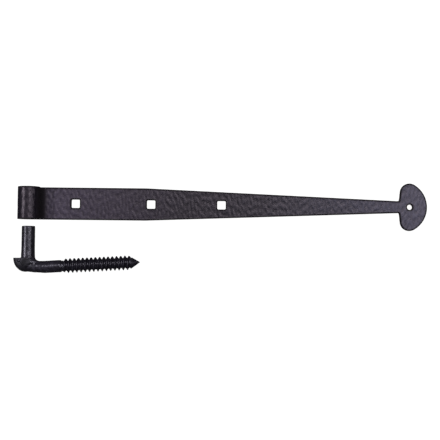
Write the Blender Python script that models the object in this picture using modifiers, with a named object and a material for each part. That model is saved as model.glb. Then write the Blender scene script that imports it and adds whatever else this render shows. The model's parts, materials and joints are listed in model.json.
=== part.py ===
"""Pintle and strap hinge: a long tapered strap with a rolled eye, lifted off its lag pintle.

Millimetres times MM give metres. The eye's axis runs along Y, the strap points along +X,
and the strap's back and the eye lie on the ground plane, with the pintle laid in line with
the eye, below it in Y.
"""
import math

import bmesh
import bpy
from mathutils import Matrix, Vector

MM = 0.001

# Strap: flat bar with a rolled eye
STRAP_WIDTH = 38.1 * MM
STRAP_THICKNESS = 4.76 * MM
STRAP_LENGTH = 467.8 * MM          # eye axis to the tip of the bean
TAPER_START = 136.1 * MM           # from the eye axis
EYE_END_ANGLE = math.radians(-36)  # where the rolled end stops, short of the bar's front

# Bean-shaped end: one large arc and two lobes tangent to it
BEAN_ARC_RADIUS = 30.8 * MM
BEAN_LOBE_RADIUS = 11.0 * MM
BEAN_LOBE_ANGLE = math.radians(59.6)
BEAN_LENGTH = 32.9 * MM
NECK_WIDTH = 13.98 * MM

# Holes
SQUARE_HOLE_SIDE = 9.95 * MM
SQUARE_HOLE_PLACES = (53.2 * MM, 142.2 * MM, 225.3 * MM)
TIP_HOLE_DIAMETER = 6.35 * MM
TIP_HOLE_FROM_TIP = 20.5 * MM

# Pin and its fits
PIN_DIAMETER = 15.7 * MM
PIN_LENGTH = 37.5 * MM             # above the landing
PIN_END_CHAMFER = 0.8 * MM
EYE_CLEARANCE = 0.45 * MM          # radial, pin to eye
PIN_SOCKET_DEPTH = 4.5 * MM
FIT_GAP = 0.3 * MM
LIFT_OFF_GAP = 7.65 * MM           # strap's lower edge to the pin's end

# Head of the lag: a quarter-round heel under a flat landing
HEEL_REACH = 17.2 * MM             # left of the pin axis
HEEL_CENTRE = -2.6 * MM
HEEL_DEPTH = 17.0 * MM
HEAD_HALF_THICKNESS = 10.0 * MM
HEAD_FRONT_REACH = 13.0 * MM       # right of the heel's centre
COLLAR_RADIUS = 9.4 * MM
COLLAR_HEIGHT = 1.0 * MM

# Lag: a bent shank, a right-hand thread and a plain point
SHANK_DROP = 10.3 * MM             # landing to the shank's axis at the bend
SHANK_DIAMETER = 14.6 * MM
SHANK_NECK_DIAMETER = 13.4 * MM
SHANK_NECK_RISE = 0.5 * MM         # lift of the neck's axis inside the head
SHANK_LAP = 3.0 * MM               # how far the bent bar runs on past the bend
SHANK_SWELL_FROM = 4.0 * MM        # before the bend, where the bar is nearly full size
SHANK_SWELL_SHORT = 0.2 * MM       # how far short of its full radius it is there
CORE_START = 1.0 * MM              # from the bend
CORE_SHOULDER = 2.0 * MM           # length of the cone from shank to thread root
BEND_FROM_PIN = 20.0 * MM
LAG_RISE = math.radians(3.4)
LAG_LENGTH = 110.1 * MM            # bend to the tip
THREAD_START = 23.5 * MM           # from the bend, first crest
THREAD_PITCH = 4.93 * MM
THREAD_TURNS = 16
THREAD_CREST_DIAMETER = 16.2 * MM
THREAD_ROOT_DIAMETER = 12.2 * MM
THREAD_CREST_FLAT = 0.9 * MM
THREAD_FLANK_ANGLE = math.radians(30)
THREAD_PHASE = math.radians(90)
THREAD_SINK = 0.6 * MM             # how far the ridge is let into the core
THREAD_OVERHANG = 0.4 * MM         # how far the ridge stands past its crest before trimming
THREAD_RUN_OUT = 1.0 * MM          # how far short of the point's tip the trim ends
THREAD_RUN_IN = 0.8                # share of a turn over which the first turn grows
POINT_HALF_ANGLE = math.radians(29.6)

ARC_STEP = math.radians(7.5)
ROUND_SIDES = 32
TRIM_SIDES = ROUND_SIDES + 2       # not the core's, so that no two faces fall together
HEAD_RINGS = 24
WELD_DISTANCE = 0.001 * MM        # points nearer than this are made one
TURN_WELD_DISTANCE = 0.01 * MM
THREAD_STEPS_PER_TURN = 18

# Worked out from the sizes above
PIN_RADIUS = PIN_DIAMETER / 2
EYE_BORE_RADIUS = PIN_RADIUS + EYE_CLEARANCE
EYE_RADIUS = EYE_BORE_RADIUS + STRAP_THICKNESS
AXIS_HEIGHT = EYE_RADIUS
LANDING_Y = -STRAP_WIDTH / 2 - LIFT_OFF_GAP - PIN_LENGTH
SEAT_Y = LANDING_Y + COLLAR_HEIGHT + FIT_GAP
DROP_TRAVEL = -STRAP_WIDTH / 2 - SEAT_Y
BEAN_CENTRE_X = STRAP_LENGTH - BEAN_ARC_RADIUS
NECK_X = STRAP_LENGTH - BEAN_LENGTH
ROOT_RADIUS = THREAD_ROOT_DIAMETER / 2
CREST_RADIUS = THREAD_CREST_DIAMETER / 2


def clear_scene():
    for obj in list(bpy.data.objects):
        bpy.data.objects.remove(obj, do_unlink=True)


def make_collection(name):
    collection = bpy.data.collections.new(name)
    bpy.context.scene.collection.children.link(collection)
    return collection


def coat(name, colour, roughness):
    """A black powder coat: not metallic itself, whatever lies under it."""
    material = bpy.data.materials.new(name)
    material.use_nodes = True
    shader = material.node_tree.nodes["Principled BSDF"]
    shader.inputs["Base Color"].default_value = (*colour, 1)
    shader.inputs["Roughness"].default_value = roughness
    shader.inputs["Metallic"].default_value = 0.0
    return material


def place(obj, collection):
    for old in list(obj.users_collection):
        old.objects.unlink(obj)
    collection.objects.link(obj)


def smooth(obj, angle=math.radians(30)):
    obj.data.shade_smooth()
    obj.data.set_sharp_from_angle(angle=angle)


def mesh_from(curve, name, collection):
    """Turn a curve object, or an object with modifiers, into a closed mesh object."""
    graph = bpy.context.evaluated_depsgraph_get()
    mesh = bpy.data.meshes.new_from_object(curve.evaluated_get(graph))
    shell = bmesh.new()
    shell.from_mesh(mesh)
    bmesh.ops.remove_doubles(shell, verts=shell.verts, dist=WELD_DISTANCE)
    open_edges = [edge for edge in shell.edges if edge.is_boundary]
    if open_edges:
        bmesh.ops.holes_fill(shell, edges=open_edges)
    bmesh.ops.recalc_face_normals(shell, faces=shell.faces)
    shell.to_mesh(mesh)
    shell.free()
    place_at = curve.matrix_world.copy()
    bpy.data.objects.remove(curve, do_unlink=True)
    solid = bpy.data.objects.new(name, mesh)
    collection.objects.link(solid)
    solid.matrix_world = place_at
    return solid


def outline_solid(name, points, depth, turn, collection):
    """A flat outline, filled and given a depth to both sides of its own plane."""
    data = bpy.data.curves.new(name, 'CURVE')
    data.dimensions = '2D'
    data.fill_mode = 'BOTH'
    data.extrude = depth / 2
    line = data.splines.new('POLY')
    line.points.add(len(points) - 1)
    for point, (x, y) in zip(line.points, points):
        point.co = (x, y, 0, 1)
    line.use_cyclic_u = True
    curve = bpy.data.objects.new(name, data)
    collection.objects.link(curve)
    curve.matrix_world = turn
    bpy.context.view_layer.update()
    return mesh_from(curve, name, collection)


def turned_solid(name, profile, sides, collection):
    """A profile of (radius, height) points, top to bottom, turned about Z."""
    mesh = bpy.data.meshes.new(name)
    corners = [(radius, 0, height) for radius, height in profile]
    edges = [(i, i + 1) for i in range(len(corners) - 1)]
    mesh.from_pydata(corners, edges, [])
    obj = bpy.data.objects.new(name, mesh)
    collection.objects.link(obj)
    screw = obj.modifiers.new("turn", 'SCREW')
    screw.steps = screw.render_steps = sides
    screw.use_merge_vertices = True
    screw.merge_threshold = TURN_WELD_DISTANCE
    bpy.context.view_layer.update()
    return mesh_from(obj, name, collection)


def combine(target, other, operation):
    """Apply one exact Boolean and drop the object that it used."""
    cut = target.modifiers.new(operation.lower(), 'BOOLEAN')
    cut.operation = operation
    cut.solver = 'EXACT'
    cut.object = other
    graph = bpy.context.evaluated_depsgraph_get()
    mesh = bpy.data.meshes.new_from_object(target.evaluated_get(graph))
    target.modifiers.clear()
    target.data = mesh
    bpy.data.objects.remove(other, do_unlink=True)


def add_cutter(target, cutter, cutters):
    """Keep a live cut on the target, with its cutter set aside."""
    place(cutter, cutters)
    cutter.hide_render = True
    cutter.display_type = 'WIRE'
    cut = target.modifiers.new("cut " + cutter.name, 'BOOLEAN')
    cut.operation = 'DIFFERENCE'
    cut.solver = 'EXACT'
    cut.object = cutter


def arc(centre, radius, start, end):
    """Points from one angle to another, both included."""
    steps = max(2, round(abs(end - start) / ARC_STEP))
    angles = [start + (end - start) * i / steps for i in range(steps + 1)]
    return [(centre[0] + radius * math.cos(a), centre[1] + radius * math.sin(a)) for a in angles]


def side_profile():
    """The bar and its rolled eye seen from the pin's end: X along, Y up from the ground."""
    axis = (0, AXIS_HEIGHT)
    bottom = math.radians(-90)
    end = EYE_END_ANGLE - math.radians(360)
    far = STRAP_LENGTH + STRAP_THICKNESS
    outer = arc(axis, EYE_RADIUS, bottom, end)
    inner = arc(axis, EYE_BORE_RADIUS, end, bottom)
    return outer + inner + [(far, STRAP_THICKNESS), (far, 0)]


def upper_outline():
    """Upper half of the plan view, from the eye to the bean's tip."""
    lobe_distance = BEAN_ARC_RADIUS - BEAN_LOBE_RADIUS
    lobe = Vector((BEAN_CENTRE_X + lobe_distance * math.cos(BEAN_LOBE_ANGLE),
                   lobe_distance * math.sin(BEAN_LOBE_ANGLE)))
    neck = Vector((NECK_X, NECK_WIDTH / 2))
    away = neck - lobe
    touch = math.atan2(away.y, away.x) - math.acos(BEAN_LOBE_RADIUS / away.length)
    touch += math.radians(360)
    points = [(-EYE_RADIUS * 2, STRAP_WIDTH / 2), (TAPER_START, STRAP_WIDTH / 2), tuple(neck)]
    points += arc(lobe, BEAN_LOBE_RADIUS, touch, BEAN_LOBE_ANGLE)
    points += arc((BEAN_CENTRE_X, 0), BEAN_ARC_RADIUS, BEAN_LOBE_ANGLE, 0)[1:]
    return points


def plan_outline():
    upper = upper_outline()
    lower = [(x, -y) for x, y in reversed(upper[:-1])]
    return upper + lower


def make_strap(parts, cutters):
    bar = outline_solid("strap", side_profile(), 4 * STRAP_WIDTH,
                        Matrix.Rotation(math.radians(90), 4, 'X'), parts)
    plan = outline_solid("plan", plan_outline(), 8 * EYE_RADIUS, Matrix.Identity(4), cutters)
    combine(bar, plan, 'INTERSECT')
    bar.data.transform(bar.matrix_world)
    bar.data.transform(Matrix.Translation((0, 0, -AXIS_HEIGHT)))
    bar.matrix_world = Matrix.Translation((0, 0, AXIS_HEIGHT))

    for number, x in enumerate(SQUARE_HOLE_PLACES, start=1):
        bpy.ops.mesh.primitive_cube_add(size=1, location=(x, 0, STRAP_THICKNESS / 2))
        punch = bpy.context.object
        punch.name = f"square_punch_{number}"
        punch.data.transform(Matrix.Diagonal((SQUARE_HOLE_SIDE, SQUARE_HOLE_SIDE,
                                              3 * STRAP_THICKNESS, 1)))
        add_cutter(bar, punch, cutters)
    bpy.ops.mesh.primitive_cylinder_add(
        vertices=ROUND_SIDES, radius=TIP_HOLE_DIAMETER / 2, depth=3 * STRAP_THICKNESS,
        location=(STRAP_LENGTH - TIP_HOLE_FROM_TIP, 0, STRAP_THICKNESS / 2))
    drill = bpy.context.object
    drill.name = "tip_drill"
    add_cutter(bar, drill, cutters)
    smooth(bar)
    return bar


def make_pin(parts):
    """The round pin, with its foot in the head's socket."""
    foot = -PIN_SOCKET_DEPTH + FIT_GAP
    inner = PIN_RADIUS - PIN_END_CHAMFER
    profile = [(0, PIN_LENGTH), (inner, PIN_LENGTH), (PIN_RADIUS, PIN_LENGTH - PIN_END_CHAMFER),
               (PIN_RADIUS, foot + PIN_END_CHAMFER), (inner, foot), (0, foot)]
    pin = turned_solid("pintle_pin", profile, ROUND_SIDES, parts)
    pin.matrix_world = pin_frame()
    smooth(pin)
    return pin


def pin_frame():
    """Where the pin axis leaves the landing: local Z along the pin, local X along the strap."""
    return Matrix.Translation((0, LANDING_Y, AXIS_HEIGHT)) @ Matrix.Rotation(math.radians(-90), 4, 'X')


def lag_frame():
    """Bend point of the shank, with local Z along the lag's axis and local X up."""
    place_at = Matrix.Translation((BEND_FROM_PIN, LANDING_Y - SHANK_DROP, AXIS_HEIGHT))
    along = Vector((math.cos(LAG_RISE), math.sin(LAG_RISE), 0))
    across = Vector((-math.sin(LAG_RISE), math.cos(LAG_RISE), 0))
    depth = along.cross(across)
    turn = Matrix((across, depth, along)).transposed().to_4x4()
    return place_at @ turn


def make_shank(parts):
    """The bent bar from inside the head to the bend, as a tube of changing radius."""
    neck = SHANK_NECK_DIAMETER / 2
    full = SHANK_DIAMETER / 2
    level = LANDING_Y - SHANK_DROP
    forward = Vector((math.cos(LAG_RISE), math.sin(LAG_RISE), 0))
    bend = Vector((BEND_FROM_PIN, level, AXIS_HEIGHT))
    stations = [(Vector((HEEL_CENTRE, level + SHANK_NECK_RISE, AXIS_HEIGHT)), neck),
                (Vector((BEND_FROM_PIN / 2, level, AXIS_HEIGHT)), neck),
                (bend - forward * SHANK_SWELL_FROM, full - SHANK_SWELL_SHORT),
                (bend + forward * SHANK_LAP, full)]
    data = bpy.data.curves.new("shank", 'CURVE')
    data.dimensions = '3D'
    data.bevel_depth = full
    data.bevel_resolution = 8
    data.use_fill_caps = True
    line = data.splines.new('POLY')
    line.points.add(len(stations) - 1)
    for point, (spot, radius) in zip(line.points, stations):
        point.co = (*spot, 1)
        point.radius = radius / full
    curve = bpy.data.objects.new("shank", data)
    parts.objects.link(curve)
    bpy.context.view_layer.update()
    return mesh_from(curve, "shank", parts)


def make_lag_core(parts):
    """Straight shank, thread root and point, turned about the lag's axis."""
    full = SHANK_DIAMETER / 2
    shoulder = THREAD_START - THREAD_PITCH
    point = LAG_LENGTH - ROOT_RADIUS / math.tan(POINT_HALF_ANGLE)
    profile = [(0, LAG_LENGTH), (ROOT_RADIUS, point), (ROOT_RADIUS, shoulder + CORE_SHOULDER),
               (full, shoulder), (full, CORE_START), (0, CORE_START)]
    core = turned_solid("core", profile, ROUND_SIDES, parts)
    core.matrix_world = lag_frame()
    return core


def make_thread(parts, cutters):
    """A right-hand ridge wound about the lag's axis, trimmed where it starts and ends."""
    sink = ROOT_RADIUS - THREAD_SINK
    over = CREST_RADIUS + THREAD_OVERHANG
    half_base = THREAD_CREST_FLAT / 2 + (CREST_RADIUS - sink) * math.tan(THREAD_FLANK_ANGLE)
    half_over = THREAD_CREST_FLAT / 2 - THREAD_OVERHANG * math.tan(THREAD_FLANK_ANGLE)
    tooth = [(sink, -half_base), (over, -half_over), (over, half_over), (sink, half_base)]
    mesh = bpy.data.meshes.new("thread")
    corners = [(r * math.cos(THREAD_PHASE), r * math.sin(THREAD_PHASE), z) for r, z in tooth]
    mesh.from_pydata(corners, [(i, (i + 1) % len(corners)) for i in range(len(corners))], [])
    ridge = bpy.data.objects.new("thread", mesh)
    parts.objects.link(ridge)
    wind = ridge.modifiers.new("wind", 'SCREW')
    wind.screw_offset = THREAD_PITCH
    wind.iterations = THREAD_TURNS
    wind.steps = wind.render_steps = THREAD_STEPS_PER_TURN
    wind.use_merge_vertices = False
    bpy.context.view_layer.update()
    ridge = mesh_from(ridge, "thread", parts)
    ridge.data.transform(Matrix.Translation((0, 0, THREAD_START - THREAD_PITCH)))

    first = THREAD_START - THREAD_RUN_IN * THREAD_PITCH
    last_crest = THREAD_START + (THREAD_TURNS - 1) * THREAD_PITCH
    envelope = [(0, LAG_LENGTH - THREAD_RUN_OUT), (CREST_RADIUS, last_crest + THREAD_CREST_FLAT),
                (CREST_RADIUS, THREAD_START + THREAD_PITCH / 2), (ROOT_RADIUS, first), (0, first)]
    trim = turned_solid("thread_trim", envelope, TRIM_SIDES, cutters)
    combine(ridge, trim, 'INTERSECT')
    ridge.matrix_world = lag_frame()
    return ridge


def make_head(parts, cutters):
    """A quarter-round heel: the lower half of an ellipsoid, shorter on the lag's side."""
    bpy.ops.mesh.primitive_uv_sphere_add(segments=ROUND_SIDES, ring_count=HEAD_RINGS, radius=1)
    head = bpy.context.object
    head.name = "head"
    place(head, parts)
    heel = HEEL_REACH + HEEL_CENTRE
    for vertex in head.data.vertices:
        reach = heel if vertex.co.x < 0 else HEAD_FRONT_REACH
        vertex.co = (vertex.co.x * reach, vertex.co.y * HEEL_DEPTH,
                     vertex.co.z * HEAD_HALF_THICKNESS)
    head.data.transform(Matrix.Translation((HEEL_CENTRE, LANDING_Y, AXIS_HEIGHT)))
    size = 4 * HEEL_REACH
    bpy.ops.mesh.primitive_cube_add(size=size, location=(0, LANDING_Y + size / 2, AXIS_HEIGHT))
    cover = bpy.context.object
    combine(head, cover, 'DIFFERENCE')
    return head


def make_lag(parts, cutters):
    lag = make_head(parts, cutters)
    lag.name = "pintle_lag"
    collar_profile = [(0, COLLAR_HEIGHT), (COLLAR_RADIUS - COLLAR_HEIGHT / 2, COLLAR_HEIGHT),
                      (COLLAR_RADIUS, COLLAR_HEIGHT / 2), (COLLAR_RADIUS, -COLLAR_HEIGHT),
                      (0, -COLLAR_HEIGHT)]
    collar = turned_solid("collar", collar_profile, ROUND_SIDES, parts)
    collar.matrix_world = pin_frame()
    for piece in (make_shank(parts), make_lag_core(parts), make_thread(parts, cutters), collar):
        bpy.context.view_layer.update()
        combine(lag, piece, 'UNION')
    socket_profile = [(0, 2 * COLLAR_HEIGHT), (PIN_RADIUS + FIT_GAP, 2 * COLLAR_HEIGHT),
                      (PIN_RADIUS + FIT_GAP, -PIN_SOCKET_DEPTH), (0, -PIN_SOCKET_DEPTH)]
    socket = turned_solid("pin_socket", socket_profile, ROUND_SIDES, cutters)
    socket.matrix_world = pin_frame()
    add_cutter(lag, socket, cutters)
    smooth(lag)
    return lag


def centre_on_ground(pieces, followers):
    """Move everything so that the origin is under the middle of the whole hinge."""
    graph = bpy.context.evaluated_depsgraph_get()
    corners = [piece.matrix_world @ vertex.co for piece in pieces
               for vertex in piece.evaluated_get(graph).data.vertices]
    middle = [(min(c[i] for c in corners) + max(c[i] for c in corners)) / 2 for i in (0, 1)]
    shift = Matrix.Translation((-middle[0], -middle[1], -min(c.z for c in corners)))
    for obj in followers:
        obj.matrix_world = shift @ obj.matrix_world
    print("origin moved by", [round(v, 5) for v in shift.translation],
          "landing", round(LANDING_Y, 5), "travel", round(DROP_TRAVEL, 5))


def build():
    clear_scene()
    parts = make_collection("pintle_strap_hinge")
    cutters = make_collection("cutters")
    strap = make_strap(parts, cutters)
    pin = make_pin(parts)
    lag = make_lag(parts, cutters)
    strap.data.materials.append(coat("textured_black_coat", (0.055, 0.048, 0.066), 0.5))
    pin.data.materials.append(coat("black_coat_pin", (0.03, 0.027, 0.036), 0.42))
    lag.data.materials.append(coat("black_coat_lag", (0.018, 0.017, 0.022), 0.45))
    bpy.context.view_layer.update()
    centre_on_ground((strap, pin, lag), list(parts.objects) + list(cutters.objects))


build()
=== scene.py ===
import json
import math

import bmesh
import bpy
import numpy as np
from mathutils import Matrix, Vector, kdtree


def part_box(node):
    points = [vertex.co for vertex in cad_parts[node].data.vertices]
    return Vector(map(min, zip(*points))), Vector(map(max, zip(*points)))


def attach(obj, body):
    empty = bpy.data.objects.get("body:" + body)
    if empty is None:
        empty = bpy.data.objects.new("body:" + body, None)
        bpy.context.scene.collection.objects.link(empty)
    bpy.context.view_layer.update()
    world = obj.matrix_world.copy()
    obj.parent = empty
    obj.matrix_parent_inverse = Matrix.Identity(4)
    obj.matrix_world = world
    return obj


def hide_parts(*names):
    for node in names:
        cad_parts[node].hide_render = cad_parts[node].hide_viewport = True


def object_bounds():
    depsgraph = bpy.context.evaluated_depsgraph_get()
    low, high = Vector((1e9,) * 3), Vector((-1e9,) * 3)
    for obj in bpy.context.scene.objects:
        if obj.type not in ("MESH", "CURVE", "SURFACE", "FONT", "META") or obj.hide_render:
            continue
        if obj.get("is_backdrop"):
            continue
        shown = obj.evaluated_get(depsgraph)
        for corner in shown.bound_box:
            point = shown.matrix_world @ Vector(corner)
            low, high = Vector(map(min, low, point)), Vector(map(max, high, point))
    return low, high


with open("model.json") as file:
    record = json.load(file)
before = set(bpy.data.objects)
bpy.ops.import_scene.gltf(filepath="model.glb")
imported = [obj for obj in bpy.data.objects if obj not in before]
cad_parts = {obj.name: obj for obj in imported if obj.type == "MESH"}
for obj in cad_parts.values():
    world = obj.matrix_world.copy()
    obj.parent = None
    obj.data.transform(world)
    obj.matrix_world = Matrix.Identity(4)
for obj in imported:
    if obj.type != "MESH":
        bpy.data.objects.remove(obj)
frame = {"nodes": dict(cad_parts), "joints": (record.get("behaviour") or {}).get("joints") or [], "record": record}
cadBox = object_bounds()
mm = 0.001

swingJoint = next(joint for joint in frame["joints"] if joint["name"] == "swing")
pinFoot = Vector(swingJoint["pos_m"])   # where the pin's axis leaves the landing
strapLow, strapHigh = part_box("strap")
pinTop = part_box("pintle_pin")[1][1]
strapMidY = (strapLow[1] + strapHigh[1]) / 2
mounts = {mount["name"]: Vector(mount["pos_m"]) for mount in frame["record"]["mounts"]}
barFront = mounts["bolt_head_face"].z
print("frame loaded: strap, pin and lag")


# small helpers for points and smooth noise

noiseCells = 32        # the noise repeats after this many lumps
noiseShift = 100       # lumps that the noise is moved by
ridgeContrast = 1.1
weightSteps = 8        # steps between no smoothing and all of it

def readPoints(mesh):
    flat = np.empty(len(mesh.vertices) * 3)
    mesh.vertices.foreach_get("co", flat)
    return flat.reshape(-1, 3)


def writePoints(mesh, points):
    mesh.vertices.foreach_set("co", np.ascontiguousarray(points, dtype=np.float32).ravel())
    mesh.update()


def readNormals(mesh):
    flat = np.empty(len(mesh.vertices) * 3)
    mesh.vertex_normals.foreach_get("vector", flat)
    return flat.reshape(-1, 3)


def ramp(low, high, value):
    t = np.clip((value - low) / (high - low), 0, 1)
    return t * t * (3 - 2 * t)


def lumpNoise(points, size, seed):
    # smooth random lumps of about this size, between -1 and 1
    table = np.random.default_rng(seed).uniform(-1, 1, (noiseCells, noiseCells, noiseCells))
    grid = points / size + noiseShift
    base = np.floor(grid).astype(int)
    t = grid - base
    t = t * t * (3 - 2 * t)
    total = np.zeros(len(points))
    for dx in (0, 1):
        for dy in (0, 1):
            for dz in (0, 1):
                weight = (np.abs(1 - dx - t[:, 0]) * np.abs(1 - dy - t[:, 1])
                          * np.abs(1 - dz - t[:, 2]))
                total += weight * table[(base[:, 0] + dx) % noiseCells,
                                        (base[:, 1] + dy) % noiseCells,
                                        (base[:, 2] + dz) % noiseCells]
    return total


def wormSheet(length, width, step, wave, spread, alongY, seed):
    # random ridges of one wavelength, like the skin of a hammered coat
    size = (int(length / step), int(width / step))
    white = np.random.default_rng(seed).standard_normal(size)
    fx = np.fft.fftfreq(size[0], step)[:, None]
    fy = np.fft.fftfreq(size[1], step)[None, :] * alongY
    band = np.exp(-((np.hypot(fx, fy) * wave - 1) / spread) ** 2)
    sheet = np.fft.ifft2(np.fft.fft2(white) * band).real
    return np.tanh(ridgeContrast * sheet / sheet.std())


def sampleSheet(sheet, step, u, v):
    # the sheet's height at each (u, v), which wraps round at its edges
    gu = u / step
    gv = v / step
    iu = np.floor(gu).astype(int)
    iv = np.floor(gv).astype(int)
    tu = gu - iu
    tv = gv - iv
    rows, columns = sheet.shape
    corner = lambda a, b: sheet[(iu + a) % rows, (iv + b) % columns]
    low = corner(0, 0) * (1 - tu) + corner(1, 0) * tu
    high = corner(0, 1) * (1 - tu) + corner(1, 1) * tu
    return low * (1 - tv) + high * tv


def newPiece(name, mesh):
    piece = bpy.data.objects.new(name, mesh)
    bpy.context.scene.collection.objects.link(piece)
    return piece


def setFloat(mesh, name, values):
    layer = mesh.attributes.new(name, 'FLOAT', 'POINT')
    layer.data.foreach_set("value", np.ascontiguousarray(values, dtype=np.float32))


def applied(piece):
    # the piece's mesh with its modifiers applied
    graph = bpy.context.evaluated_depsgraph_get()
    mesh = bpy.data.meshes.new_from_object(piece.evaluated_get(graph))
    piece.modifiers.clear()
    piece.data = mesh
    return mesh


def reskin(piece, voxel):
    # one even skin over everything in the mesh
    skin = piece.modifiers.new("skin", 'REMESH')
    skin.mode = 'VOXEL'
    skin.voxel_size = voxel
    skin.use_smooth_shade = True
    return applied(piece)


def smoothWhere(piece, name, amount, factor, rounds):
    # smooth the piece, by an amount from 0 to 1 for each of its points
    group = piece.vertex_groups.new(name=name)
    levels = np.round(amount * weightSteps).astype(int)
    for level in range(1, weightSteps + 1):
        chosen = np.nonzero(levels == level)[0].tolist()
        group.add(chosen, level / weightSteps, 'REPLACE')
    wear = piece.modifiers.new(name, 'SMOOTH')
    wear.factor = factor
    wear.iterations = rounds
    wear.vertex_group = name
    return applied(piece)


def joinMeshes(name, meshes):
    whole = bmesh.new()
    for mesh in meshes:
        whole.from_mesh(mesh)
    joined = bpy.data.meshes.new(name)
    whole.to_mesh(joined)
    whole.free()
    return joined


# materials: one coat for the strap and one for the pintle

def newMaterial(name):
    material = bpy.data.materials.new(name)
    material.use_nodes = True
    nodes = material.node_tree.nodes
    return material, nodes, material.node_tree.links, nodes["Principled BSDF"]


def noiseNode(nodes, links, where, scale, detail, roughness=0.5):
    noise = nodes.new("ShaderNodeTexNoise")
    noise.inputs["Scale"].default_value = scale
    noise.inputs["Detail"].default_value = detail
    noise.inputs["Roughness"].default_value = roughness
    links.new(where.outputs["Object"], noise.inputs["Vector"])
    return noise


def rampNode(nodes, links, source, stops):
    node = nodes.new("ShaderNodeValToRGB")
    while len(node.color_ramp.elements) < len(stops):
        node.color_ramp.elements.new(0.5)
    for element, (place, colour) in zip(node.color_ramp.elements, stops):
        element.position = place
        element.color = (*colour, 1)
    links.new(source, node.inputs["Fac"])
    return node


def mixColour(nodes, links, mode, amount, first, second):
    node = nodes.new("ShaderNodeMix")
    node.data_type = 'RGBA'
    node.blend_type = mode
    if isinstance(amount, float):
        node.inputs["Factor"].default_value = amount
    else:
        links.new(amount, node.inputs["Factor"])
    links.new(first, node.inputs["A"])
    if isinstance(second, tuple):
        node.inputs["B"].default_value = (*second, 1)
    else:
        links.new(second, node.inputs["B"])
    return node.outputs["Result"]


def rangeNode(nodes, links, source, low, high, toLow, toHigh):
    node = nodes.new("ShaderNodeMapRange")
    links.new(source, node.inputs["Value"])
    node.inputs["From Min"].default_value = low
    node.inputs["From Max"].default_value = high
    node.inputs["To Min"].default_value = toLow
    node.inputs["To Max"].default_value = toHigh
    return node.outputs["Result"]


def scaled(nodes, links, colour, amount):
    node = nodes.new("ShaderNodeVectorMath")
    node.operation = 'SCALE'
    links.new(colour, node.inputs[0])
    links.new(amount, node.inputs["Scale"])
    return node.outputs["Vector"]


def larger(nodes, links, first, second):
    node = nodes.new("ShaderNodeMath")
    node.operation = 'MAXIMUM'
    links.new(first, node.inputs[0])
    links.new(second, node.inputs[1])
    return node.outputs["Value"]


coatNoise = {
    "patchSize": 0.018,        # m, slow change of tone
    "patchTone": (0.82, 0.82, 0.84),
    "patchRange": (0.3, 0.7),
    "mottleSize": 0.0032,      # m, between the dark and the light colour
    "mottleRange": (0.3, 0.72),
    "roughRange": (0.3, 0.7),
    "edgeRoughness": 0.85,
    "eyeShare": (0.05, 0.07),  # share of the strap's length where the eye ends
    "bumpStrength": 0.35,
    "bumpDepth": 0.00012,      # m
}

strapCoat = {
    "dark": (0.019, 0.0145, 0.024),
    "light": (0.035, 0.0275, 0.044),
    # painted light and shade from the eye to the bean, by share of the strap's length: the eye darker, the bar
    # brighter next to the eye and at the bean than in the middle
    "along": [(0.0, (0.4, 0.41, 0.43)), (0.05, (0.4, 0.41, 0.43)), (0.07, (1.75, 1.85, 1.82)),
              (0.235, (0.98, 1.02, 1.02)), (0.41, (0.20, 0.26, 0.27)), (0.6, (0.20, 0.29, 0.32)),
              (0.81, (0.80, 1.10, 1.15)), (1.0, (1.95, 2.5, 2.4))],
    "shine": 0.34,
    "eyeRoughness": 0.84,             # the rolled eye's roughness against the bar's
    # colour of the painted shade along every edge
    "edge": (0.003, 0.0028, 0.004),
    "edgeFrom": 1.2, "edgeTo": 2.3,   # mm of painted shade along every edge
    "reliefTone": (0.72, 1.28),       # painted shade in the low ground and painted highlight on the ridges, against the coat's own colour
    "tint": (1.0, 0.86, 1.0),
    "roughness": (0.34, 0.46),
    "grain": 0.0006,                  # m, size of the coat's fine grain
}

pintleCoat = {
    "dark": (0.004, 0.0036, 0.0052),
    "light": (0.024, 0.021, 0.032),
    # painted shade in the low ground and painted highlight on the raised lumps
    "reliefTone": (0.45, 1.55),
    "tint": (0.88, 0.85, 1.0),
    "shine": 0.62,
    "roughness": (0.22, 0.38),
    "grain": 0.0005,
}


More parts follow.
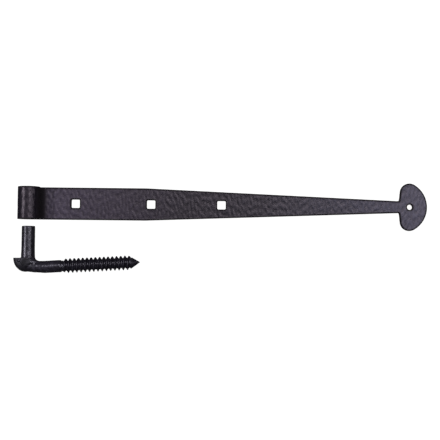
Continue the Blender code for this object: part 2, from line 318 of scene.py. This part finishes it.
def makeCoat(name, look, edged):
    # an edged coat has painted shade along the edges and painted light and shade along the strap
    material, nodes, links, shader = newMaterial(name)
    where = nodes.new("ShaderNodeTexCoord")
    patches = noiseNode(nodes, links, where, 1 / coatNoise["patchSize"], 5)
    mottle = noiseNode(nodes, links, where, 1 / coatNoise["mottleSize"], 4, 0.6)
    grain = noiseNode(nodes, links, where, 1 / look["grain"], 3, 0.6)
    low, high = coatNoise["mottleRange"]
    colour = rampNode(nodes, links, mottle.outputs["Fac"],
                      [(low, look["dark"]), (high, look["light"])]).outputs["Color"]
    low, high = coatNoise["patchRange"]
    tone = rampNode(nodes, links, patches.outputs["Fac"],
                    [(low, coatNoise["patchTone"]), (high, (1.0, 1.0, 1.0))]).outputs["Color"]
    colour = mixColour(nodes, links, 'MULTIPLY', 1.0, colour, tone)
    # painted shade in the relief's low ground and painted highlight on its ridges
    relief = nodes.new("ShaderNodeAttribute")
    relief.attribute_name = "relief"
    height = rangeNode(nodes, links, relief.outputs["Fac"], -1.0, 1.0, *look["reliefTone"])
    colour = scaled(nodes, links, colour, height)
    # painted shade and painted highlights from the mesh darken or brighten the colour, and the coat is rougher
    # where it is darker
    shade = nodes.new("ShaderNodeAttribute")
    shade.attribute_name = "shade"
    colour = scaled(nodes, links, colour, shade.outputs["Fac"])
    if edged:
        place = nodes.new("ShaderNodeSeparateXYZ")
        links.new(where.outputs["Object"], place.inputs["Vector"])
        share = rangeNode(nodes, links, place.outputs["X"], strapLow[0], strapHigh[0], 0.0, 1.0)
        # painted light and shade along the strap
        tone = rampNode(nodes, links, share, look["along"]).outputs["Color"]
        colour = mixColour(nodes, links, 'MULTIPLY', 1.0, colour, tone)
        # painted shade along every edge, with a rougher coat there
        edge = nodes.new("ShaderNodeAttribute")
        edge.attribute_name = "edgeDistance"
        near = rangeNode(nodes, links, edge.outputs["Fac"],
                         look["edgeFrom"], look["edgeTo"], 1.0, 0.0)
        colour = mixColour(nodes, links, 'MIX', near, colour, look["edge"])
    links.new(colour, shader.inputs["Base Color"])
    rough = rangeNode(nodes, links, mottle.outputs["Fac"],
                      *coatNoise["roughRange"], *look["roughness"])
    dull = rangeNode(nodes, links, shade.outputs["Fac"], 0.0, 1.0, 1.0, 0.0)
    if edged:
        onEye = nodes.new("ShaderNodeMath")
        onEye.operation = 'MULTIPLY'
        links.new(rough, onEye.inputs[0])
        smoother = rangeNode(nodes, links, share, *coatNoise["eyeShare"],
                             look["eyeRoughness"], 1.0)
        links.new(smoother, onEye.inputs[1])
        rough = onEye.outputs["Value"]
        edgeDull = rangeNode(nodes, links, near, 0.0, 1.0, 0.0, coatNoise["edgeRoughness"])
        dull = larger(nodes, links, dull, edgeDull)
    links.new(larger(nodes, links, rough, dull), shader.inputs["Roughness"])
    shader.inputs["Specular IOR Level"].default_value = look["shine"]
    shader.inputs["Specular Tint"].default_value = (*look["tint"], 1)
    bump = nodes.new("ShaderNodeBump")
    bump.inputs["Strength"].default_value = coatNoise["bumpStrength"]
    bump.inputs["Distance"].default_value = coatNoise["bumpDepth"]
    links.new(grain.outputs["Fac"], bump.inputs["Height"])
    links.new(bump.outputs["Normal"], shader.inputs["Normal"])
    return material


strapMaterial = makeCoat("strapBlackCoat", strapCoat, True)
pintleMaterial = makeCoat("pintleBlackCoat", pintleCoat, False)
print("coats mixed")


# the strap: hammered flat bar with a rolled eye

strapLook = {
    "voxel": 0.66,        # mm between points of the skin
    "weld": 1e-6,         # m, between points that are one
    "wear": 3,            # rounds of smoothing on the corners
    "wearFactor": 0.5,
    "reliefWave": 4.4,    # mm from ridge to ridge of the hammered coat
    "reliefDepth": 0.12,  # mm
    "alongY": 2.0,        # how much longer the ridges are across the strap
    "fineWave": 2.4,
    "fineDepth": 0.035,
    "waveSpread": 0.35,   # how far the ridges stray from one wavelength
    "sheetLength": 640, "sheetWidth": 64, "sheetStep": 0.4,
    "frontPlace": 120,    # mm along the sheet where the bar's front starts
    "backPlace": 331,     # and how much further its back does
    "fineShare": 0.25,    # of the fine ridges in the coat's tone
    "calmEdge": (0.2, 2.2),           # mm from an edge over which the relief grows
    "calmEyeEnd": 15,     # mm from the eye's axis where the bar's full relief starts
    "holes": (53.2, 142.2, 225.3),   # mm from the eye's axis
    "holeCrisp": 0.75,    # how much less the punched holes' corners are worn
    "holeReach": (6, 8),  # mm from a hole's middle over which that fades
    "eyeCalm": 0.45,      # share of the relief left on the rolled eye
    "eyeBulge": 0.15,     # mm that the rolled eye spreads at its crest, on each side
    "creaseDark": 0.10,   # what is left of the coat's colour under the painted shade deep in the crease by the eye
    "creaseWidth": 9.5,   # mm over which it fades along the bar
    "creaseSoft": 0.15,   # share of that width which stays darkest
    "creaseOnEye": 6.0,   # mm over which it fades up the eye
    "creaseStart": 0.2,   # mm past the eye's outside
}


def developed(points):
    # distance along the bar, counted from under the eye, and round the eye as negative
    x = points[:, 0] - pinFoot.x
    z = points[:, 2] - pinFoot.z
    radius = pinFoot.x - strapLow[0]
    onEye = (x < 0) | ((np.hypot(x, z) < radius * 1.05) & (points[:, 2] > barFront * 1.25))
    turn = np.arctan2(-x, -z) % (2 * math.pi)
    return np.where(onEye, -radius * turn, x), onEye


def creaseShade(points, onEye):
    # painted shade, darkest where the rolled eye comes down on the bar's front, fading along both
    x = (points[:, 0] - pinFoot.x) / mm
    start = (pinFoot.x - strapLow[0]) / mm + strapLook["creaseStart"]
    front = points[:, 2] > barFront * 0.6
    bar = ramp(strapLook["creaseSoft"], 1.0, (x - start) / strapLook["creaseWidth"])
    eye = ramp(0.0, 1.0, (start - x) / strapLook["creaseOnEye"])
    light = np.where(onEye, eye, np.where(x > start, bar, 0))
    light = strapLook["creaseDark"] + (1 - strapLook["creaseDark"]) * light
    return np.where(front & (x > 0), light, 1.0)


def strapBody():
    # the strap's own solid, as a mesh without doubled points
    body = bmesh.new()
    body.from_mesh(frame["nodes"]["strap"].data)
    bmesh.ops.remove_doubles(body, verts=body.verts, dist=strapLook["weld"])
    mesh = bpy.data.meshes.new("hammeredStrap")
    body.to_mesh(mesh)
    body.free()
    return mesh


def nearHoles(points):
    # 1 round the punched holes, 0 away from them
    near = np.zeros(len(points))
    inner, outer = strapLook["holeReach"]
    for x in strapLook["holes"]:
        away = np.maximum(np.abs(points[:, 0] - pinFoot.x - x * mm),
                          np.abs(points[:, 1] - strapMidY))
        near = np.maximum(near, 1 - ramp(inner * mm, outer * mm, away))
    return near


def edgeDistances(points, normals):
    # mm from each point to the nearest of the strap's side, end or hole walls
    sides = np.abs(normals[:, 1]) > 0.75
    ends = (np.abs(normals[:, 2]) < 0.5) & (points[:, 0] > pinFoot.x + 20 * mm)
    walls = np.nonzero(sides | ends)[0]
    tree = kdtree.KDTree(len(walls))
    for index in walls:
        tree.insert(points[index], int(index))
    tree.balance()
    return np.array([tree.find(point)[2] for point in points]) / mm


def makeStrap():
    look = strapLook
    strap = newPiece("hammeredStrap", strapBody())
    mesh = reskin(strap, look["voxel"] * mm)
    crisp = look["holeCrisp"] * nearHoles(readPoints(mesh))
    mesh = smoothWhere(strap, "wear", 1 - crisp, look["wearFactor"], look["wear"])

    points = readPoints(mesh)
    crest = ramp(pinFoot.z, strapHigh[2] - 2 * mm, points[:, 2])
    side = np.clip((points[:, 1] - strapMidY) / (19 * mm), -1, 1)
    points[:, 1] += side * crest * look["eyeBulge"] * mm
    writePoints(mesh, points)

    normals = readNormals(mesh)
    edge = edgeDistances(points, normals)
    setFloat(mesh, "edgeDistance", edge)

    u, onEye = developed(points)
    length, width, step = look["sheetLength"] * mm, look["sheetWidth"] * mm, look["sheetStep"] * mm
    coarse = wormSheet(length, width, step, look["reliefWave"] * mm, look["waveSpread"],
                       look["alongY"], 5)
    fine = wormSheet(length, width, step, look["fineWave"] * mm, look["waveSpread"], 1.0, 9)
    v = points[:, 1] - strapMidY + width / 2
    back = normals[:, 2] < -0.5
    u = np.where(back & ~onEye, u + look["backPlace"] * mm, u)
    height = sampleSheet(coarse, step, u + look["frontPlace"] * mm, v)
    detail = sampleSheet(fine, step, u + look["frontPlace"] * mm, v)
    calm = ramp(*look["calmEdge"], edge)
    pastEye = ramp(0, look["calmEyeEnd"] * mm, points[:, 0] - pinFoot.x)
    calm *= look["eyeCalm"] + (1 - look["eyeCalm"]) * pastEye
    push = (look["reliefDepth"] * (height - 1) + look["fineDepth"] * (detail - 1)) * calm
    writePoints(mesh, points + normals * (push * mm)[:, None])
    tone = (1 - look["fineShare"]) * height + look["fineShare"] * detail
    setFloat(mesh, "relief", tone * calm)
    # painted shade in the crease by the eye
    setFloat(mesh, "shade", creaseShade(points, onEye))
    mesh.materials.clear()
    mesh.materials.append(strapMaterial)
    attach(strap, "strap")
    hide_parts("strap")
    print("strap:", len(mesh.vertices), "points")


makeStrap()


# the pin: round bar with a broken edge at its free end

pinLook = {
    "topRadius": 7.72,
    "midRadius": 7.85,
    "footRadius": 8.12,
    "flareFrom": 12.0,    # mm above the landing, where the foot starts to widen
    "edgeRound": 1.3, "edgeRows": 12,
    "edgeHeight": 0.85,   # the rounded edge's height against its width
    "crown": 0.25, "crownShare": 0.6, "crownLimit": 0.14,
    "sides": 120,
    "rows": 110,
    "dents": 0.09,
    "dentSize": 3.0,
    "fineDents": 0.3, "fineDentSize": 2.3,   # share, and how much smaller they are
    "dentSink": 0.6,      # so that dents go in more than out
}


def turned(name, profile, sides):
    # profile: (radius, height) from the foot up, turned about Z and closed at both ends
    angles = np.linspace(0, 2 * math.pi, sides, endpoint=False)
    shape = bmesh.new()
    rings = []
    for radius, height in profile:
        rings.append([shape.verts.new((radius * math.cos(a), radius * math.sin(a), height))
                      for a in angles])
    for low, high in zip(rings, rings[1:]):
        for i in range(sides):
            j = (i + 1) % sides
            shape.faces.new((low[i], low[j], high[j], high[i]))
    shape.faces.new(list(reversed(rings[0])))
    shape.faces.new(rings[-1])
    mesh = bpy.data.meshes.new(name)
    shape.to_mesh(mesh)
    shape.free()
    mesh.shade_smooth()
    return mesh


def pinProfile():
    # up the side, round the edge and over the slightly crowned top
    length = (pinTop - pinFoot.y) / mm
    top, edge, rows = pinLook["topRadius"], pinLook["edgeRound"], pinLook["rows"]
    points = []
    for i in range(rows + 1):
        height = (length - edge) * i / rows
        flare = 1 - float(ramp(0, pinLook["flareFrom"], np.array(height)))
        radius = top + (pinLook["midRadius"] - top) * (1 - i / rows)
        points.append((radius + (pinLook["footRadius"] - pinLook["midRadius"]) * flare, height))
    steps, low = pinLook["edgeRows"], pinLook["edgeHeight"]
    for i in range(1, steps + 1):
        angle = math.radians(90) * i / steps
        points.append((top - edge * (1 - math.cos(angle)),
                       length - edge + edge * math.sin(angle) * low))
    for i in range(1, steps):
        radius = (top - edge) * (1 - i / steps)
        rise = pinLook["crown"] * (1 - (radius / (top - edge)) ** 2) * pinLook["crownShare"]
        points.append((radius, length - edge * (1 - low) + min(rise, edge * pinLook["crownLimit"])))
    return [(radius * mm, height * mm) for radius, height in points]


def alongPin():
    # local Z runs up the pin
    return Matrix.Translation(pinFoot) @ Matrix.Rotation(math.radians(-90), 4, 'X')


def dent(mesh, amount, size, seed):
    points = readPoints(mesh)
    normals = readNormals(mesh)
    fine = pinLook["fineDents"]
    lumps = ((1 - fine) * lumpNoise(points, size * mm, seed)
             + fine * lumpNoise(points, size * mm / pinLook["fineDentSize"], seed + 1))
    writePoints(mesh, points + normals * ((lumps - pinLook["dentSink"]) * amount * mm)[:, None])
    return lumps


def makePin():
    mesh = turned("turnedPin", pinProfile(), pinLook["sides"])
    mesh.transform(alongPin())
    lumps = dent(mesh, pinLook["dents"], pinLook["dentSize"], 21)
    setFloat(mesh, "relief", lumps)
    setFloat(mesh, "shade", np.ones(len(lumps)))
    mesh.materials.append(pintleMaterial)
    pin = newPiece("turnedPin", mesh)
    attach(pin, "pin")
    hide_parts("pintle_pin")
    print("pin:", len(mesh.vertices), "points")


makePin()


# the lag: forged heel, shank with a slight bend, and a right-hand thread

lagShape = {
    "heelReach": 17.2, "heelCentre": -2.6, "heelDepth": 16.5,
    "frontReach": 7.5,        # on the shank's side, at the landing
    "toeReach": 13.0,         # and how much further at the very bottom
    "heelThickness": 9.0,     # to each side of the middle
    "heelWaist": 0.72,        # share of that thickness left on the shank's side
    "waistRange": (-0.1, 0.8),
    "collarRadius": 8.5, "collarHeight": 0.6,
    # the pin's bar below the landing, upset into the shank: (below the landing, radius)
    "foot": [(-0.4, 7.9), (3.0, 7.9), (5.5, 7.7), (7.6, 6.9), (9.4, 5.0), (10.2, 3.0)],
    # and the shank's near end: (from the pin's axis, radius)
    "near": [(-5.5, 3.0), (-4.6, 4.6), (-2.6, 5.5), (0.0, 5.9), (3.0, 6.3), (7.0, 6.6)],
    # the web between pin and shank: (radius, below the landing)
    "web": [(8.2, 0.0), (9.0, 1.3), (10.4, 2.5), (12.6, 3.4), (12.6, 7.0)],
    "webThickness": 0.62,     # share of its width
    "webBack": 0.3,           # share of it left on the heel's side
    "barSides": 96, "turnSides": 120,
    "shankDrop": 10.38, "shankRadius": 7.18, "neckRadius": 6.85,
    "bend": 20.0, "rise": math.radians(3.4), "length": 111.4,
    "threadStart": 23.5, "pitch": 4.93, "turns": 16,
    "crestRadius": 8.6, "rootRadius": 5.9, "crestFlat": 0.6,
    "flank": math.radians(30),
    "threadSides": 132, "threadRows": 760,
    "pointAngle": math.radians(29.6),
    "voxel": 0.37, "wear": 2, "wearFactor": 0.5,
    "threadCrisp": 0.6,       # how much less the thread is worn
    "forging": 0.16, "forgingSize": 3.4,
    "fineForging": 0.4, "fineForgingSize": 2.4,   # share, and how much smaller
    "forgingOnThread": 0.25,  # share of the forging left on the thread
    "forgingSink": 0.5,       # so that the forging goes in more than out
    "blendRounds": 24, "blendFactor": 0.8, "blendMost": 0.6,
    "weldRun": [((-7.0, -0.9, 7.2), 0.9), ((-6.5, -2.6, 8.0), 1.2), ((-5.9, -4.6, 8.2), 1.2),
                ((-5.1, -6.6, 8.0), 1.1), ((-4.0, -8.4, 7.5), 0.8)],
    "weldBlob": ((-8.9, -2.8, 7.6), 1.9), "weldSides": 24,
    # painted shade on the front of the bend: its middle, then its half sizes
    "patch": (-0.8, -4.6, 5.6, 5.2),
    # what the painted shade leaves of the colour on the bend's front and on the heel, and how much the painted
    # highlights brighten the weld blob and the shank
    "patchLeft": 0.35, "heelLeft": 0.55,
    "blobBright": 5.0, "shankBright": 1.25,
}


def lagAxis():
    # local Z along the lag from the bend, local X up the pin
    shape = lagShape
    along = Vector((math.cos(shape["rise"]), math.sin(shape["rise"]), 0))
    up = Vector((-math.sin(shape["rise"]), math.cos(shape["rise"]), 0))
    depth = along.cross(up)
    bend = pinFoot + Vector((shape["bend"] * mm, -shape["shankDrop"] * mm, 0))
    return Matrix.Translation(bend) @ Matrix((up, depth, along)).transposed().to_4x4()


def threadRadius(height, angle):
    # radius of the lag at a height along it and an angle round it, in mm
    shape = lagShape
    pitch, crest, root = shape["pitch"], shape["crestRadius"], shape["rootRadius"]
    first, last = shape["threadStart"], shape["threadStart"] + (shape["turns"] - 1) * pitch
    pointStart = shape["length"] - root / math.tan(shape["pointAngle"])
    core = np.where(height < first - pitch + 2,
                    shape["shankRadius"] + (root - shape["shankRadius"])
                    * ramp(first - pitch - 0.6, first - pitch + 2.4, height), root)
    point = (shape["length"] - height) * math.tan(shape["pointAngle"])
    core = np.where(height > pointStart, point, core)
    phase = (height - first + pitch * (angle / (2 * math.pi) - 0.25)) / pitch
    away = np.abs(phase - np.round(phase)) * pitch - shape["crestFlat"] / 2
    tooth = crest - np.maximum(away, 0) / math.tan(shape["flank"])
    runIn = ramp(first - 0.9 * pitch, first + 0.4 * pitch, height)
    limit = np.minimum(crest, root + (crest - root) * runIn)
    tail = (shape["length"] - height) * (crest / (shape["length"] - last - shape["crestFlat"]))
    return np.maximum(core, np.minimum(np.minimum(tooth, limit), tail))


def threadMesh():
    # core and thread in one, turned round the lag's axis
    sides, rows = lagShape["threadSides"], lagShape["threadRows"]
    heights = np.linspace(1.0, lagShape["length"] - 0.1, rows)
    angles = np.linspace(0, 2 * math.pi, sides, endpoint=False)
    h, a = np.meshgrid(heights, angles, indexing='ij')
    r = threadRadius(h, a)
    points = np.stack([r * np.cos(a), r * np.sin(a), h], axis=-1).reshape(-1, 3) * mm
    i, j = np.meshgrid(np.arange(rows - 1), np.arange(sides), indexing='ij')
    k = (j + 1) % sides
    quads = np.stack([i * sides + j, i * sides + k,
                      (i + 1) * sides + k, (i + 1) * sides + j], axis=-1)
    mesh = bpy.data.meshes.new("thread")
    mesh.from_pydata(points.tolist(), [], quads.reshape(-1, 4).tolist()
                     + [list(range(sides))[::-1], [(rows - 1) * sides + n for n in range(sides)]])
    mesh.transform(lagAxis())
    return mesh


def heelMesh():
    # half a squashed ball, flat on top, longer behind the pin than in front
    shape = lagShape
    heel = bmesh.new()
    bmesh.ops.create_uvsphere(heel, u_segments=96, v_segments=64, radius=1)
    for vertex in heel.verts:
        x, y, z = vertex.co
        front = shape["frontReach"] + shape["toeReach"] * abs(y)
        reach = shape["heelReach"] + shape["heelCentre"] if x < 0 else front
        waist = 1 - (1 - shape["heelWaist"]) * float(ramp(*shape["waistRange"], np.array(x)))
        vertex.co = Vector((x * reach, y * shape["heelDepth"],
                            z * shape["heelThickness"] * waist)) * mm
    cut = bmesh.ops.bisect_plane(heel, geom=heel.verts[:] + heel.edges[:] + heel.faces[:],
                                 plane_co=(0, 0, 0), plane_no=(0, 1, 0), clear_outer=True)
    rim = [item for item in cut["geom_cut"] if isinstance(item, bmesh.types.BMEdge)]
    bmesh.ops.contextual_create(heel, geom=rim)
    mesh = bpy.data.meshes.new("heel")
    heel.to_mesh(mesh)
    heel.free()
    mesh.transform(Matrix.Translation(pinFoot + Vector((shape["heelCentre"] * mm, 0, 0))))
    return mesh


def tube(name, stations, sides):
    # round bar through (point, radius) stations, square to each stretch's average direction
    shape = bmesh.new()
    rings = []
    spots = [Vector(point) for point, radius in stations]
    for i, (point, radius) in enumerate(stations):
        before = spots[max(i - 1, 0)]
        after = spots[min(i + 1, len(spots) - 1)]
        direction = (after - before).normalized()
        across = Vector((0, 0, 1))
        up = across.cross(direction)
        rings.append([shape.verts.new(spots[i] + radius * (math.cos(a) * across + math.sin(a) * up))
                      for a in np.linspace(0, 2 * math.pi, sides, endpoint=False)])
    for low, high in zip(rings, rings[1:]):
        for i in range(sides):
            j = (i + 1) % sides
            shape.faces.new((low[i], low[j], high[j], high[i]))
    shape.faces.new(list(reversed(rings[0])))
    shape.faces.new(rings[-1])
    mesh = bpy.data.meshes.new(name)
    shape.to_mesh(mesh)
    shape.free()
    return mesh


def shankMesh():
    # from inside the heel out to the thread, with the slight bend before it
    shape = lagShape
    turn = shape["shankDrop"]
    stations = [(x, -turn, radius) for x, radius in shape["near"]]
    for x in np.linspace(turn, shape["bend"] + 3, 12).tolist():
        grow = float(ramp(turn, shape["bend"], np.array(x)))
        radius = shape["neckRadius"] + (shape["shankRadius"] - shape["neckRadius"]) * grow
        past = max(0.0, x - shape["bend"])
        stations.append((x, -turn + past * math.tan(shape["rise"]), radius))
    return tube("shank", [(pinFoot + Vector((x, y, 0)) * mm, radius * mm)
                          for x, y, radius in stations], shape["barSides"])


def footMesh():
    # the pin's bar goes on down into the forging, with a web on the shank's side
    shape = lagShape
    foot = tube("foot", [(pinFoot + Vector((0, -drop, 0)) * mm, radius * mm)
                         for drop, radius in shape["foot"]], shape["barSides"])
    web = turned("web", [(radius * mm, -drop * mm) for radius, drop in reversed(shape["web"])],
                 shape["barSides"])
    for vertex in web.vertices:
        x, y, z = vertex.co
        vertex.co = (x if x > 0 else x * shape["webBack"], y * shape["webThickness"], z)
    web.transform(alongPin())
    return joinMeshes("foot", [foot, web])


def weldMesh():
    # a run of weld down the left of the bend, and a blob where it started
    shape = lagShape
    run = tube("weldRun", [(pinFoot + Vector(spot) * mm, radius * mm)
                           for spot, radius in shape["weldRun"]], shape["weldSides"])
    ball = bmesh.new()
    bmesh.ops.create_icosphere(ball, subdivisions=4, radius=shape["weldBlob"][1] * mm)
    blob = bpy.data.meshes.new("weldBlob")
    ball.to_mesh(blob)
    ball.free()
    blob.transform(Matrix.Translation(pinFoot + Vector(shape["weldBlob"][0]) * mm))
    return joinMeshes("weld", [run, blob])


def collarMesh():
    # low round bead where the pin enters the landing
    radius, height = lagShape["collarRadius"], lagShape["collarHeight"]
    profile = [(radius, -1.0)]
    profile += [(radius - height * (1 - math.cos(a)), height * math.sin(a))
                for a in np.linspace(0.1, math.pi / 2, 8)]
    profile += [(pinLook["footRadius"] + 0.35, height)]
    return turned("collar", [(r * mm, h * mm) for r, h in profile], lagShape["turnSides"])


def throatAmount(points):
    # forged metal flows from the head into the shank with no crease
    x = (points[:, 0] - pinFoot.x) / mm
    y = (points[:, 1] - pinFoot.y) / mm
    belowLanding = 1 - ramp(-2.4, -1.0, y)
    return lagShape["blendMost"] * ramp(-3, 3, x) * (1 - ramp(16, 24, x)) * belowLanding


def headShade(points):
    # painted shade, with a rougher coat, on the heel and on the bend's front; painted highlights on the weld blob
    # and along the shank
    x = (points[:, 0] - pinFoot.x) / mm
    y = (points[:, 1] - pinFoot.y) / mm
    heel = 1 - (1 - lagShape["heelLeft"]) * (1 - ramp(-4, 2, x))
    centreX, centreY, halfX, halfY = lagShape["patch"]
    inside = 1 - ramp(0.75, 1.1, np.hypot((x - centreX) / halfX, (y - centreY) / halfY))
    patch = 1 - (1 - lagShape["patchLeft"]) * inside * (points[:, 2] > pinFoot.z)
    blob, blobRadius = lagShape["weldBlob"]
    onBlob = np.linalg.norm(points / mm - np.array(pinFoot) / mm - np.array(blob), axis=1)
    bright = 1 + (lagShape["blobBright"] - 1) * (1 - ramp(0.9, 1.15, onBlob / blobRadius))
    # painted highlight along the shank
    shankHighlight = 1 + (lagShape["shankBright"] - 1) * ramp(2, 10, x) * (1 - ramp(26, 34, x))
    return heel * patch * bright * shankHighlight


def makeLag():
    shape = lagShape
    collar = collarMesh()
    collar.transform(alongPin())
    lag = newPiece("forgedLag", joinMeshes("forgedLag", [heelMesh(), footMesh(), shankMesh(),
                                                        weldMesh(), threadMesh(), collar]))
    mesh = reskin(lag, shape["voxel"] * mm)
    away = readPoints(mesh)[:, 0] - pinFoot.x
    onThread = ramp(shape["bend"] * mm, shape["threadStart"] * mm, away)
    mesh = smoothWhere(lag, "wear", 1 - shape["threadCrisp"] * onThread,
                       shape["wearFactor"], shape["wear"])
    mesh = smoothWhere(lag, "throat", throatAmount(readPoints(mesh)),
                       shape["blendFactor"], shape["blendRounds"])
    points = readPoints(mesh)
    normals = readNormals(mesh)
    size, fine = shape["forgingSize"] * mm, shape["fineForging"]
    lumps = ((1 - fine) * lumpNoise(points, size, 31)
             + fine * lumpNoise(points, size / shape["fineForgingSize"], 32))
    onThread = ramp(30 * mm, 44 * mm, points[:, 0] - pinFoot.x)
    amount = shape["forging"] * (1 - (1 - shape["forgingOnThread"]) * onThread)
    writePoints(mesh, points + normals * ((lumps - shape["forgingSink"]) * amount * mm)[:, None])
    setFloat(mesh, "relief", lumps)
    # painted shade and painted highlights on the head and shank
    setFloat(mesh, "shade", headShade(points))
    mesh.materials.clear()
    mesh.materials.append(pintleMaterial)
    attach(lag, "lag")
    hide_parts("pintle_lag")
    print("lag:", len(mesh.vertices), "points")


makeLag()


# floor, lights and camera

studio = {
    "floorSize": 12.0,
    "floorColour": (0.12, 0.12, 0.12),
    "floorGlow": 1.0, "floorRoughness": 0.9,
    "floorDrop": 0.0002,   # m, so that the floor doesn't touch the hinge
    "world": 0.05,
    "lens": 73.63636, "sensor": 36.0,   # mm
    "distance": 1.0652, "clipStart": 0.01,
    "aim": (-0.0016, 0.0096, 0.0),
    "pitch": math.radians(1.9),
    "roll": math.radians(0.61),
}

# each softbox: azimuth from +X and elevation as seen from the hinge, then distance,
# width and height in metres, and watts
softboxes = {
    "overheadBox": (math.radians(52), math.radians(70), 1.6, 0.7, 0.5, 9.8),
    "stripBox": (math.radians(117), math.radians(67), 1.6, 0.5, 0.1, 4.5),
    "leftBox": (math.radians(180), math.radians(37), 1.5, 0.8, 0.12, 8.5),
    "rightBox": (math.radians(0), math.radians(50), 1.5, 0.5, 0.3, 3.0),
}


def makeFloor():
    bpy.ops.mesh.primitive_plane_add(size=studio["floorSize"], location=(0, 0, 0))
    floor = bpy.context.object
    floor.name = "studioFloor"
    material, nodes, links, shader = newMaterial("paleFloor")
    shader.inputs["Base Color"].default_value = (*studio["floorColour"], 1)
    shader.inputs["Roughness"].default_value = studio["floorRoughness"]
    floor.visible_diffuse = False
    floor.visible_glossy = False
    shader.inputs["Specular IOR Level"].default_value = 0.0
    shader.inputs["Emission Color"].default_value = (1, 1, 1, 1)
    shader.inputs["Emission Strength"].default_value = studio["floorGlow"]
    floor.data.materials.append(material)
    floor.location.z = -studio["floorDrop"]
    floor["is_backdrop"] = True


def makeLights():
    world = bpy.data.worlds.new("studioWorld")
    bpy.context.scene.world = world
    world.use_nodes = True
    world.node_tree.nodes["Background"].inputs["Color"].default_value = (1, 1, 1, 1)
    world.node_tree.nodes["Background"].inputs["Strength"].default_value = studio["world"]
    for name, (azimuth, elevation, distance, width, height, watts) in softboxes.items():
        lamp = bpy.data.lights.new(name, 'AREA')
        lamp.shape = 'RECTANGLE'
        lamp.size = width
        lamp.size_y = height
        lamp.energy = watts
        box = bpy.data.objects.new(name, lamp)
        direction = Vector((math.cos(azimuth) * math.cos(elevation),
                            math.sin(azimuth) * math.cos(elevation), math.sin(elevation)))
        box.location = direction * distance
        box.rotation_euler = direction.to_track_quat('Z', 'Y').to_euler()
        bpy.context.scene.collection.objects.link(box)


def makeCamera():
    lens = bpy.data.cameras.new("studioCamera")
    lens.sensor_width = studio["sensor"]
    lens.lens = studio["lens"]
    lens.clip_start = studio["clipStart"]
    camera = bpy.data.objects.new("studioCamera", lens)
    tilt = Matrix.Rotation(studio["pitch"], 4, 'X')
    turn = Matrix.Rotation(studio["roll"], 4, 'Z')
    camera.matrix_world = (Matrix.Translation(studio["aim"]) @ tilt @ turn
                           @ Matrix.Translation((0, 0, studio["distance"])))
    bpy.context.scene.collection.objects.link(camera)
    bpy.context.scene.camera = camera


makeFloor()
makeLights()
makeCamera()
bpy.context.scene.view_settings.view_transform = 'Standard'
print("studio set")

({"cad": [list(corner) for corner in cadBox],
           "visual": [list(corner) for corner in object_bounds()]})
